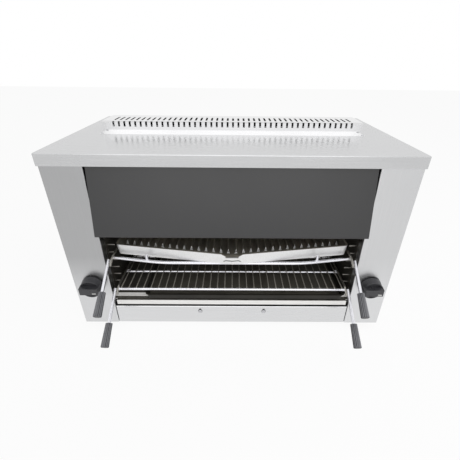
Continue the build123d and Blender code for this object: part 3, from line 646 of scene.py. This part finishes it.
# Washers under the panel screws, whose dark finish is painted shade: the dark contact ring round each
# head
washer_shade_plating = brushed_metal("washer_shade_plating", (0.3, 0.3, 0.31), roughness=0.35, grain=along_x)
mark_paint = painted_metal("mark_paint", (0.8, 0.8, 0.78), roughness=0.5)
special_finishes = {
    "top_lid": lid_sheet,
    "left_front_pillar": shaded_left_sheet,
    "right_front_pillar": right_sheet,
    "left_side_panel": upright_sheet,
    "right_side_panel": upright_sheet,
    "back_panel": upright_sheet,
    "lower_front_panel": panel_sheet,
    "flue_cowl": bright_sheet,
    "tray_shelf": stained_and_lit_sheet,
    "lower_rack_wires": dull_wire,
    "lower_rack_side_rods": dull_rod,
    "upper_rack_side_rods": dull_rod,
}


def dress_frame():
    """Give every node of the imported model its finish."""
    for row in frame["record"]["subparts"]:
        chosen = special_finishes.get(row["node"], finishes[row["material_slot"]])
        for slot in nodes[row["node"]].material_slots:
            slot.link = "OBJECT"
            slot.material = chosen


def add_piece(name, grid, material, body):
    """Turn modelled faces into a piece that moves with a body."""
    bmesh.ops.recalc_face_normals(grid, faces=grid.faces)
    mesh = bpy.data.meshes.new(name)
    grid.to_mesh(mesh)
    grid.free()
    mesh.shade_smooth()
    mesh.set_sharp_from_angle(angle=sharp_angle)
    mesh.materials.append(material)
    piece = bpy.data.objects.new(name, mesh)
    bpy.context.scene.collection.objects.link(piece)
    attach(piece, body)
    return piece


def turn_angles(steps):
    """Angles of equal steps round a full turn."""
    return [2 * math.pi * step / steps for step in range(steps)]


def add_ring(grid, turn, radius, height, steps):
    """Ring of points at a height above a plane."""
    ring = []
    for angle in turn_angles(steps):
        point = Vector((radius * math.cos(angle), radius * math.sin(angle), height))
        ring.append(grid.verts.new(turn @ point))
    return ring


def profile_rings(grid, turn, profile, radius, rise, steps):
    """Rings along a profile that is given in shares of a radius and a rise."""
    return [add_ring(grid, turn, radius * reach, rise * share, steps) for reach, share in profile]


def join_loops(grid, low, high):
    """Faces between two closed loops of points."""
    for i in range(len(low)):
        grid.faces.new((low[i - 1], low[i], high[i], high[i - 1]))


def loop_edges(grid, loop):
    """Edges along a closed loop of points."""
    return [grid.edges.get((loop[i - 1], loop[i])) for i in range(len(loop))]


def cross_outline(radius):
    """Corners of a cross recess, quarter by quarter."""
    arm = recess_reach * radius
    half = recess_half * radius
    corners = []
    for step in range(4):
        spin = Matrix.Rotation(step * math.pi / 2, 2)
        corners += [spin @ Vector(corner) for corner in ((arm, -half), (arm, half), (half, half))]
    return corners


def add_screw(grid, turn, radius, rise, shank=0.0):
    """Pan head with a cross recess, and its shank, on the plane that a matrix gives."""
    rings = profile_rings(grid, turn, screw_profile, radius, rise, screw_steps)
    if shank:
        root = [add_ring(grid, turn, shank_share * radius, -depth, screw_steps) for depth in (shank, 0.0)]
        rings = root + rings
    grid.faces.new(rings[0])
    for low, high in zip(rings, rings[1:]):
        join_loops(grid, low, high)
    cross = cross_outline(radius)
    brim = [grid.verts.new(turn @ Vector((*p, rise))) for p in cross]
    pit = [grid.verts.new(turn @ Vector((*(recess_taper * p), recess_floor * rise))) for p in cross]
    join_loops(grid, brim, pit)
    grid.faces.new(pit)
    open_edges = loop_edges(grid, rings[-1]) + loop_edges(grid, brim)
    bmesh.ops.triangle_fill(grid, use_beauty=True, edges=open_edges)


def add_washer(grid, turn, radius, rise):
    """Flat washer with a rounded rim, on the plane that a matrix gives."""
    rings = profile_rings(grid, turn, washer_profile, radius, rise, washer_steps)
    for low, high in zip(rings, rings[1:] + rings[:1]):
        join_loops(grid, low, high)


def facing_plane(place, normal):
    """Matrix of a plane at a place, with its z axis along a normal."""
    return Matrix.Translation(place) @ Vector(normal).to_track_quat("Z", "Y").to_matrix().to_4x4()


def drive_panel_screws():
    """Screws of the lower panel, on washers."""
    low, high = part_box("panel_screws")
    radius = (high.z - low.z) / 2
    rise = casing_front - low.y - washer_rise
    shank = high.y - casing_front + washer_rise
    heads = bmesh.new()
    washers = bmesh.new()
    for x in (low.x + radius, high.x - radius):
        plane = facing_plane(Vector((x, casing_front, low.z + radius)), to_front)
        add_washer(washers, plane, washer_share * radius, washer_rise)
        add_screw(heads, plane @ Matrix.Translation((0, 0, washer_rise)), radius, rise, shank)
    piece = add_piece("panel_screw_heads", heads, finishes["fasteners"], "casing")
    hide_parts("panel_screws")
    add_piece("panel_screw_washers", washers, washer_shade_plating, "casing")


def drive_cowl_screws():
    """Screws at the corners of the cowl's feet."""
    low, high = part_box("cowl_screws")
    heads = bmesh.new()
    for x in (low.x + cowl_screw_radius, high.x - cowl_screw_radius):
        for y in (low.y + cowl_screw_radius, high.y - cowl_screw_radius):
            plane = facing_plane(Vector((x, y, low.z)), to_top)
            add_screw(heads, plane, cowl_screw_radius, cowl_screw_rise)
    piece = add_piece("cowl_screw_heads", heads, finishes["fasteners"], "casing")
    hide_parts("cowl_screws")


def drive_casing_screws():
    """Screws along the edges of the side panels and of the back."""
    low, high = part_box("right_side_panel")
    front_y = low.y + casing_screw_inset
    back_y = high.y - casing_screw_inset
    bottom_z = low.z + casing_screw_inset
    top_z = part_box("top_lid")[0].z - casing_screw_inset
    heads = bmesh.new()
    for side in (-1, 1):
        for y in (front_y, back_y):
            for z in (bottom_z, (bottom_z + top_z) / 2, top_z):
                plane = facing_plane(Vector((side * high.x, y, z)), (side, 0, 0))
                add_screw(heads, plane, casing_screw_radius, casing_screw_rise)
    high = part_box("back_panel")[1]
    for share in back_screw_shares:
        for z in (bottom_z, top_z):
            plane = facing_plane(Vector((share * (high.x - casing_screw_inset), high.y, z)), to_back)
            add_screw(heads, plane, casing_screw_radius, casing_screw_rise)
    add_piece("casing_screws", heads, finishes["fasteners"], "casing")


def add_bead(grid, points, radius):
    """Weld bead: overlapping ripples along points, each a little different in size."""
    for number, (point, ahead) in enumerate(zip(points, points[1:] + points[:1])):
        phase = bead_ripple_phase * number + bead_place_phase * point.x
        size = radius * (1.0 + bead_variation * math.sin(phase))
        run = (ahead - point).normalized()
        turn = Matrix.Translation(point) @ run.to_track_quat("X", "Z").to_matrix().to_4x4()
        bmesh.ops.create_icosphere(grid, subdivisions=2, radius=size, matrix=turn @ bead_squash)


def line_points(start, end, count):
    """Points from start to end."""
    return [start.lerp(end, step / (count - 1)) for step in range(count)]


def ring_points(centre, first, second, radius, count):
    """Points round a circle in the plane of two directions."""
    points = []
    for angle in turn_angles(count):
        direction = math.cos(angle) * Vector(first) + math.sin(angle) * Vector(second)
        points.append(centre + radius * direction)
    return points


def weld_cross_rods(grid, mirror, rod_x, joint_z, back_y):
    """Seams on both sides of each cross rod where it meets a side rod."""
    for step in range(cross_count):
        for offset in (-seam_offset, seam_offset):
            y = back_y - step * cross_pitch + offset * bar_radius
            start = Vector((rod_x - seam_start, y, joint_z)) * mirror
            end = Vector((rod_x - seam_end, y, joint_z)) * mirror
            add_bead(grid, line_points(start, end, seam_ripples), bead_radius)


def weld_handle(grid, mirror, corner):
    """Bead under a handle's tail, where it joins the side rod's bent end."""
    start = (corner + tail_start * handle_run - tail_drop * handle_top) * mirror
    end = (corner + tail_end * handle_run - tail_drop * handle_top) * mirror
    add_bead(grid, line_points(start, end, tail_ripples), tail_bead_share * bead_radius)


def weld_stops(grid, bar_top):
    """Beads round the feet of the upright stops."""
    low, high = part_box("plate_stops")
    radius = (high.y - low.y) / 2
    for x in (low.x + radius, high.x - radius):
        centre = Vector((x, (low.y + high.y) / 2, bar_top - stop_sink))
        around = ring_points(centre, (1, 0, 0), (0, 1, 0), radius, stop_ripples)
        add_bead(grid, around, stop_bead_share * bead_radius)


def weld_rack(rack):
    """Weld beads of a rack, on its cross rods and handles and on its front bar or its stops."""
    side_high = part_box(f"{rack}_rack_side_rods")[1]
    bars_low, bars_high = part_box(f"{rack}_rack_bars")
    rod_x = side_high.x - side_rod_radius
    rod_z = side_high.z - side_rod_radius
    corner = Vector((rod_x + side_rod_radius, casing_front + rack_bend_depth, rod_z))
    bar_end = Vector((rod_x - side_rod_radius, bars_low.y + bar_radius, bars_high.z - bar_radius))
    grid = bmesh.new()
    for side in (-1, 1):
        mirror = Vector((side, 1, 1))
        weld_cross_rods(grid, mirror, rod_x, rod_z - side_rod_radius, bars_high.y - bar_radius)
        weld_handle(grid, mirror, corner)
        if rack == "lower":
            around = ring_points(bar_end * mirror, (0, 1, 0), (0, 0, 1), bar_radius, bar_ripples)
            add_bead(grid, around, bar_bead_share * bead_radius)
    if rack == "upper":
        weld_stops(grid, bars_high.z)
    add_piece(f"{rack}_rack_welds", grid, finishes["chromed_rod"], f"{rack}_rack")


def thread_dip(y, turn_share, nut_end, open_end):
    """Depth under the thread's crest, with a relief behind the nut and a run-out at the open end."""
    phase = (y / thread_pitch - turn_share) % 1.0
    relief = relief_share if nut_end < y < nut_end + relief_length else 0.0
    run_out = max(0.0, 1.0 - (open_end - y) / thread_pitch)
    return thread_depth * min(max(abs(2 * phase - 1), relief + run_out), 1.0)


def cut_thread():
    """Gas inlet with its pipe thread and bore, in place of the plain solid."""
    low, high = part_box("gas_inlet")
    radius = (high.x - low.x) / 2
    axis = Vector(((low.x + high.x) / 2, 0, (low.z + high.z) / 2))
    turn = Matrix.Translation(axis) @ Matrix.Rotation(-math.pi / 2, 4, "X")
    nut_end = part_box("inlet_locknut")[1].y
    thread_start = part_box("back_panel")[0].y - thread_lead
    grid = bmesh.new()
    rings = [add_ring(grid, turn, inlet_tail_radius, y, thread_steps) for y in (low.y, thread_start)]
    count = int((high.y - thread_start) / thread_pitch * thread_samples)
    for step in range(count + 1):
        y = thread_start + (high.y - thread_start) * step / count
        ring = []
        for number, angle in enumerate(turn_angles(thread_steps)):
            reach = radius - thread_dip(y, number / thread_steps, nut_end, high.y)
            point = Vector((reach * math.cos(angle), reach * math.sin(angle), y))
            ring.append(grid.verts.new(turn @ point))
        rings.append(ring)
    for y in (high.y, high.y - inlet_bore_depth):
        rings.append(add_ring(grid, turn, inlet_bore_radius, y, thread_steps))
    grid.faces.new(rings[0])
    for first, second in zip(rings, rings[1:]):
        join_loops(grid, first, second)
    grid.faces.new(rings[-1])
    piece = add_piece("threaded_inlet", grid, finishes["pipe_steel"], "casing")
    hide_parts("gas_inlet")


def mark_outline():
    """Bar with rounded ends, as pairs of places across and up."""
    outline = []
    for end in (1, -1):
        for step in range(mark_steps + 1):
            angle = math.pi * (step / mark_steps - 0.5)
            across = end * ((mark_length - mark_width) / 2 + mark_width / 2 * math.cos(angle))
            outline.append((across, end * mark_width / 2 * math.sin(angle)))
    return outline


def mark_knob(side):
    """Painted mark with rounded ends on the front of a knob's bar."""
    low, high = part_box(f"{side}_knob")
    centre = Vector(((low.x + high.x) / 2 + mark_reach, low.y, (low.z + high.z) / 2 - mark_drop))
    layers = ((1.0, -mark_rise), (1.0, mark_shoulder * mark_rise), (mark_top_share, mark_rise))
    grid = bmesh.new()
    loops = []
    for share, rise in layers:
        points = [centre + Vector((share * x, -rise, share * z)) for x, z in mark_outline()]
        loops.append([grid.verts.new(point) for point in points])
    grid.faces.new(loops[0])
    for first, second in zip(loops, loops[1:]):
        join_loops(grid, first, second)
    grid.faces.new(loops[-1])
    add_piece(f"{side}_knob_mark", grid, mark_paint, f"{side}_knob")


def light_world():
    """White sky: full strength to the camera and in reflections, softer as light."""
    world = bpy.data.worlds.new("sky")
    world.use_nodes = True
    world.node_tree.nodes.clear()
    sky = NodeTree(world.node_tree)
    shades = []
    for strength in (sky_strength, 1.0):
        shade = sky.feed(sky.node("ShaderNodeBackground"), Color=(1, 1, 1), Strength=strength)
        shades.append(shade.outputs["Background"])
    seen = sky.combine("MAXIMUM", *sky.seen_rays())
    sky.feed(sky.node("ShaderNodeOutputWorld"), Surface=sky.blend(seen, *shades))
    bpy.context.scene.world = world


def floor_paint():
    """Matt pale paint, near white to the camera and in reflections."""
    material = bpy.data.materials.new("pale_floor")
    material.use_nodes = True
    material.node_tree.nodes.clear()
    paint = NodeTree(material.node_tree)
    surface = paint.feed(paint.node("ShaderNodeBsdfDiffuse"), Color=floor_colour).outputs["BSDF"]
    white = paint.feed(paint.node("ShaderNodeEmission"), Strength=1.0).outputs["Emission"]
    for ray, amount in zip(paint.seen_rays(), (floor_seen, floor_mirrored)):
        surface = paint.blend(paint.combine("MULTIPLY", ray, amount), surface, white)
    paint.feed(paint.node("ShaderNodeOutputMaterial"), Surface=surface)
    return material


def lay_floor():
    """Pale floor that keeps the object's soft shadow."""
    mesh = bpy.data.meshes.new("floor")
    grid = bmesh.new()
    bmesh.ops.create_grid(grid, x_segments=floor_cells, y_segments=floor_cells, size=floor_half)
    grid.to_mesh(mesh)
    grid.free()
    mesh.materials.append(floor_paint())
    floor = bpy.data.objects.new("floor", mesh)
    bpy.context.scene.collection.objects.link(floor)


def hang_lamp(name, place, target, size, power, mirrored):
    """Square soft lamp that points at a target, and is or isn't seen in mirrored light."""
    data = bpy.data.lights.new(name, "AREA")
    data.shape = "SQUARE"
    data.size = size
    data.energy = power
    lamp = bpy.data.objects.new(name, data)
    lamp.location = place
    lamp.rotation_euler = (target - place).to_track_quat("-Z", "Y").to_euler()
    lamp.visible_glossy = mirrored
    bpy.context.scene.collection.objects.link(lamp)


place_camera()
dress_frame()
drive_panel_screws()
drive_cowl_screws()
drive_casing_screws()
for rack in ("lower", "upper"):
    weld_rack(rack)
cut_thread()
for side in ("left", "right"):
    mark_knob(side)
light_world()
lay_floor()
hang_lamp("key_softbox", key_place, key_target, key_size, key_power, mirrored=False)
hang_lamp("fill_softbox", fill_place, fill_target, fill_size, fill_power, mirrored=True)
bpy.context.scene.view_settings.view_transform = "Standard"
